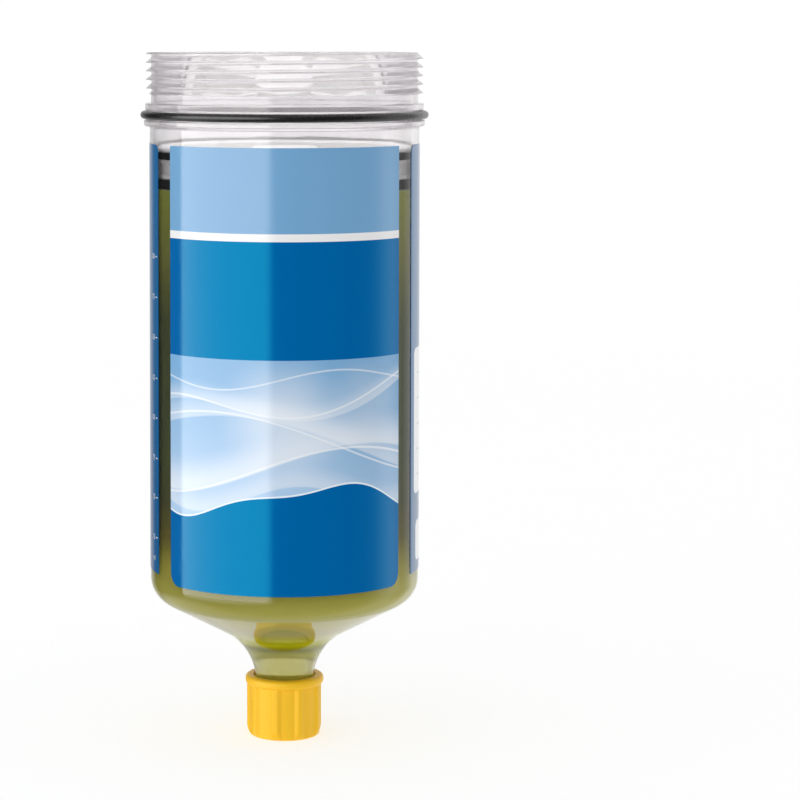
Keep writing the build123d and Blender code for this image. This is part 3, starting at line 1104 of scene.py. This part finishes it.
# the paper fades out far behind
away = floor_mat.new("ShaderNodeVectorMath")
away.operation = "LENGTH"
floor_mat.link(floor_mat.place(), away.inputs[0])
gone = floor_mat.new("ShaderNodeBsdfTransparent")
sweep = floor_mat.new("ShaderNodeMixShader")
floor_mat.link(floor_mat.ramp(floor_mat.math("DIVIDE", away.outputs["Value"], 10.0), 0.06, 0.5, 0.0, 1.0), sweep.inputs[0])
floor_mat.link(fs.outputs[0], sweep.inputs[1])
floor_mat.link(gone.outputs[0], sweep.inputs[2])
floor_mat.surface(sweep.outputs[0])
me = bpy.data.meshes.new("floor")
R = 12.0
ring_n = 64
me.from_pydata(
    [(R * math.cos(TAU * k / ring_n), R * math.sin(TAU * k / ring_n), -0.0002) for k in range(ring_n)],
    [],
    [tuple(range(ring_n))],
)
floor = bpy.data.objects.new("floor", me)
scene.collection.objects.link(floor)
floor.data.materials.append(floor_mat.mat)
floor.visible_glossy = False
floor.visible_transmission = False


def panel(name, centre, toward, width, height, strength, fade=None, camera=False):
    """Soft light: a flat sheet that shines on one side. fade gives the shares of its
    width and height over which its light falls off at one side and at the foot."""
    m = Nodes(name)
    emit = m.new("ShaderNodeEmission")
    geo = m.new("ShaderNodeNewGeometry")
    front = m.math("SUBTRACT", 1.0, geo.outputs["Backfacing"])
    share = front
    if fade:
        uv = m.new("ShaderNodeUVMap", uv_map="UVMap")
        sep = m.new("ShaderNodeSeparateXYZ")
        m.link(uv.outputs["UV"], sep.inputs[0])
        share = m.math("MULTIPLY", share, m.smooth(sep.outputs[0], fade[0], fade[1]))
        share = m.math("MULTIPLY", share, m.smooth(sep.outputs[1], fade[2], fade[3]))
    emit.inputs["Strength"].default_value = strength
    beyond = m.new("ShaderNodeBsdfTransparent")
    both = m.new("ShaderNodeMixShader")
    m.link(share, both.inputs[0])
    m.link(beyond.outputs[0], both.inputs[1])
    m.link(emit.outputs[0], both.inputs[2])
    m.surface(both.outputs[0])
    me = bpy.data.meshes.new(name)
    w, h = width / 2, height / 2
    me.from_pydata([(-w, -h, 0), (w, -h, 0), (w, h, 0), (-w, h, 0)], [], [(0, 1, 2, 3)])
    layer = me.uv_layers.new(name="UVMap")
    for loop, uvc in zip(layer.data, ((0, 0), (1, 0), (1, 1), (0, 1))):
        loop.uv = uvc
    ob = bpy.data.objects.new(name, me)
    scene.collection.objects.link(ob)
    ob.data.materials.append(m.mat)
    direction = Vector(toward) - Vector(centre)
    ob.rotation_euler = direction.to_track_quat("Z", "Y").to_euler()
    ob.location = centre
    ob.visible_camera = camera
    ob.visible_transmission = False
    return ob


D = 1.5
p0 = Vector((-math.sin(math.radians(8.2)) * D, -math.cos(math.radians(8.2)) * D, 0.08))
p1 = Vector((-math.sin(math.radians(96.5)) * D, -math.cos(math.radians(96.5)) * D, 0.08))
mid = (p0 + p1) / 2
span = (p1 - p0).length
key = panel("key_gloss", tuple(mid), (0, 0, 0.08), span, 1.6, 4.0, fade=(0.0, 0.12, 0.08, 0.30))
key.visible_diffuse = False
key = panel("key_light", tuple(mid), (0, 0, 0.08), span, 1.6, 1.7, fade=(0.0, 0.12, 0.08, 0.30))
key.visible_glossy = False
top = panel("top_light", (0.0, -0.1, 1.5), (0, 0, 0.1), 1.6, 1.6, 0.8)
top.visible_glossy = False

# light that falls through the open mouth into the piston's hollow
mouth = panel("mouth_light", (0.0, 0.0, 1.1), (0, 0, 0.1), 0.5, 0.5, 9.0)
mouth.visible_glossy = False
hollow = bpy.data.collections.new("hollow")
hollow.objects.link(nodes["piston"])
mouth.light_linking.receiver_collection = hollow

world = bpy.data.worlds.new("studio")
scene.world = world
world.use_nodes = True
wt = world.node_tree
wt.nodes.clear()
w_out = wt.nodes.new("ShaderNodeOutputWorld")
w_bg = wt.nodes.new("ShaderNodeBackground")
coord = wt.nodes.new("ShaderNodeTexCoord")
sep = wt.nodes.new("ShaderNodeSeparateXYZ")
wt.links.new(coord.outputs["Generated"], sep.inputs[0])


def w_range(value, a, b, c, d):
    n = wt.nodes.new("ShaderNodeMapRange")
    n.interpolation_type = "SMOOTHSTEP"
    wt.links.new(value, n.inputs["Value"])
    for k, v in zip(("From Min", "From Max", "To Min", "To Max"), (a, b, c, d)):
        n.inputs[k].default_value = v
    return n.outputs[0]


def w_mix(fac, a, b):
    n = wt.nodes.new("ShaderNodeMix")
    n.data_type = "FLOAT"
    wt.links.new(fac, n.inputs[0])
    for s, v in ((n.inputs[2], a), (n.inputs[3], b)):
        if hasattr(v, "is_output"):
            wt.links.new(v, s)
        else:
            s.default_value = v
    return n.outputs[0]


def w_math(op, a, b=None):
    n = wt.nodes.new("ShaderNodeMath")
    n.operation = op
    for sck, v in zip(n.inputs, (a, b)):
        if v is None:
            continue
        if hasattr(v, "is_output"):
            wt.links.new(v, sck)
        else:
            sck.default_value = v
    return n.outputs[0]


path = wt.nodes.new("ShaderNodeLightPath")
# direction round the object, in degrees from straight behind it: right is positive
turn = w_math("MULTIPLY", w_math("ARCTAN2", sep.outputs[0], sep.outputs[1]), 180 / math.pi)
around_ramp = wt.nodes.new("ShaderNodeValToRGB")
wt.links.new(w_math("DIVIDE", w_math("ADD", turn, 180.0), 360.0), around_ramp.inputs[0])
around_stops = [
    (-180, 0.03),
    (-80, 0.05),
    (-70, 0.10),
    (-46, 0.04),
    (-34, 0.06),
    (-25, 0.5),
    (-18, 0.65),
    (-6, 0.85),
    (0, 1.0),
    (24, 1.0),
    (38, 1.4),
    (50, 0.8),
    (60, 0.45),
    (70, 1.0),
    (78, 1.5),
    (88, 1.2),
    (98, 0.45),
    (112, 0.08),
    (180, 0.03),
]
els = around_ramp.color_ramp.elements
while len(els) < len(around_stops):
    els.new(0.5)
for e, (deg, v) in zip(els, around_stops):
    e.position = (deg + 180) / 360
    e.color = (v / 2, v / 2, v / 2, 1)
around = w_math("MULTIPLY", around_ramp.outputs[0], 2.0)
below = w_math("MULTIPLY", w_range(sep.outputs[2], -0.30, -0.55, 0.0, 1.0), w_range(sep.outputs[1], -0.45, 0.1, 0.0, 1.0))
above = w_math("MULTIPLY", w_range(sep.outputs[2], 0.45, 0.85, 0.0, 1.0), 0.8)
glossy = w_math("MAXIMUM", w_math("MAXIMUM", around, below), above)
# what the clear parts show: bright behind, dimmer to the left and towards the front
left_dim = w_range(turn, -55.0, -6.0, 0.55, 1.0)
right_dim = w_range(turn, 12.0, 80.0, 1.0, 0.62)
level_ring = w_math("MULTIPLY", left_dim, right_dim)
ground = w_range(sep.outputs[2], -0.12, -0.35, 0.0, 0.52)
through = w_math("MAXIMUM", level_ring, ground)
diffuse = w_range(sep.outputs[2], -0.1, 0.6, 0.51, 0.69)
level = w_mix(path.outputs["Is Glossy Ray"], diffuse, glossy)
level = w_mix(path.outputs["Is Transmission Ray"], level, through)
level = w_mix(path.outputs["Is Camera Ray"], level, 1.03)
wt.links.new(level, w_bg.inputs["Strength"])
w_bg.inputs["Color"].default_value = (1, 1, 1, 1)
wt.links.new(w_bg.outputs[0], w_out.inputs["Surface"])

# ---------------------------------------------------------------------------
# camera and film
# ---------------------------------------------------------------------------
cam_data = bpy.data.cameras.new("camera")
cam_data.sensor_width = 36.0
cam_data.lens = 2621.0 * 36.0 / 800.0
cam_data.clip_start = 0.01
cam_data.clip_end = 60.0
cam = bpy.data.objects.new("camera", cam_data)
cam_data.shift_x = 0.1443  # the canister stands left of the middle
cam.location = (0.0, -0.595, 0.1600)
cam.rotation_euler = (math.radians(90 - 7.83), 0.0, 0.0)
scene.collection.objects.link(cam)
scene.camera = cam

scene.view_settings.view_transform = "Standard"
scene.view_settings.look = "None"
scene.cycles.max_bounces = 24
scene.cycles.transmission_bounces = 20
scene.cycles.glossy_bounces = 8
scene.cycles.diffuse_bounces = 4
scene.cycles.transparent_max_bounces = 24
scene.cycles.sample_clamp_indirect = 6.0
